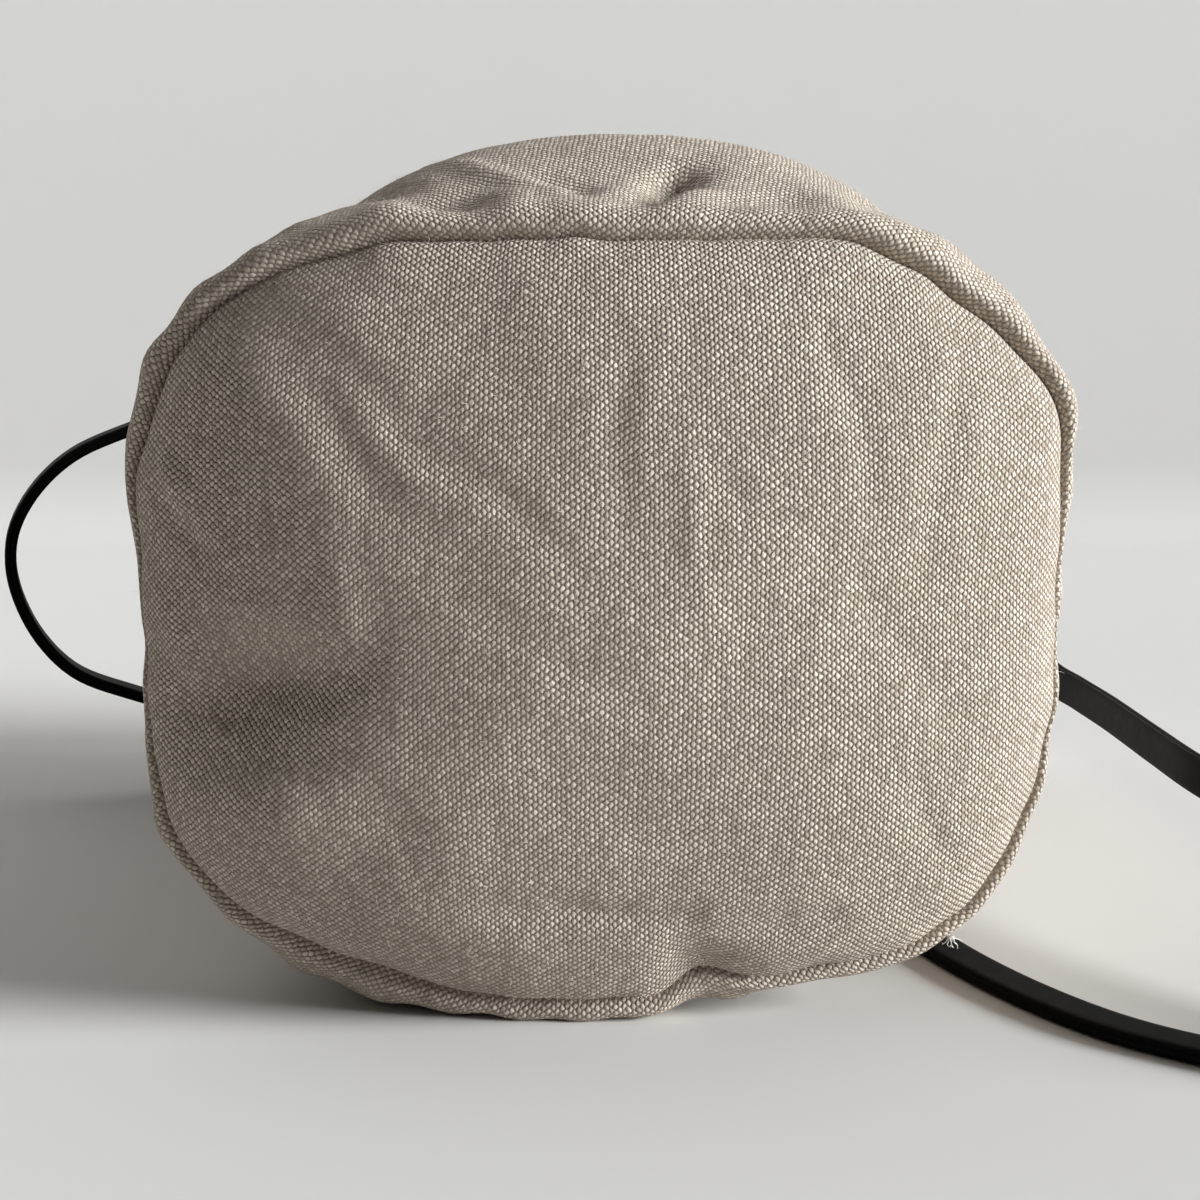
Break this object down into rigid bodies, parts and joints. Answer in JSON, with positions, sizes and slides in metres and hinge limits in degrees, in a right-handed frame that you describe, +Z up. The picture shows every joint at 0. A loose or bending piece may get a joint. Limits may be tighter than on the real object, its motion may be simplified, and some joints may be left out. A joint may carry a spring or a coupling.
{
  "type": "knot bag",
  "caption": "Lined linen knot bag lying on its side, rounded-square base forward, with a short and a long leather loop handle riveted to swing at the mouth.",
  "frame": {"origin": "on the floor under the middle of the bag's box, straps left out", "axes": "+Y along the bag from its base to its mouth, +Z up as the bag lies, +X towards the long handle"},
  "size_m": [0.3289, 0.2964, 0.178],
  "materials": {
    "outer_linen": "natural undyed linen canvas, plain weave",
    "lining_cotton": "undyed cotton, fine plain weave",
    "strap_leather": "black dyed leather, satin",
    "rivet_metal": "dark nickel plate"
  },
  "bodies": {
    "bag": {"base_panel": "outer_linen", "front_panel": "outer_linen", "back_panel": "outer_linen", "front_facing": "outer_linen", "back_facing": "outer_linen", "base_lining": "lining_cotton", "front_lining": "lining_cotton", "back_lining": "lining_cotton", "short_upper_rivet_post": "rivet_metal", "short_upper_rivet_cap": "rivet_metal", "short_lower_rivet_post": "rivet_metal", "short_lower_rivet_cap": "rivet_metal", "long_upper_rivet_post": "rivet_metal", "long_upper_rivet_cap": "rivet_metal", "long_lower_rivet_post": "rivet_metal", "long_lower_rivet_cap": "rivet_metal"},
    "short_handle": {"short_strap_face": "strap_leather", "short_strap_backing": "strap_leather"},
    "long_handle": {"long_strap_face": "strap_leather", "long_strap_backing": "strap_leather"}
  },
  "joints": [
    {"name": "short_handle_swing", "type": "hinge", "parent": "bag", "child": "short_handle", "pos_m": [-0.055, 0.1025, 0.06], "axis": [0, 0, 1], "range_deg": [-103, 12]},
    {"name": "long_handle_swing", "type": "hinge", "parent": "bag", "child": "long_handle", "pos_m": [0.055, 0.1025, 0.06], "axis": [0, 0, 1], "range_deg": [0, 90]}
  ]
}
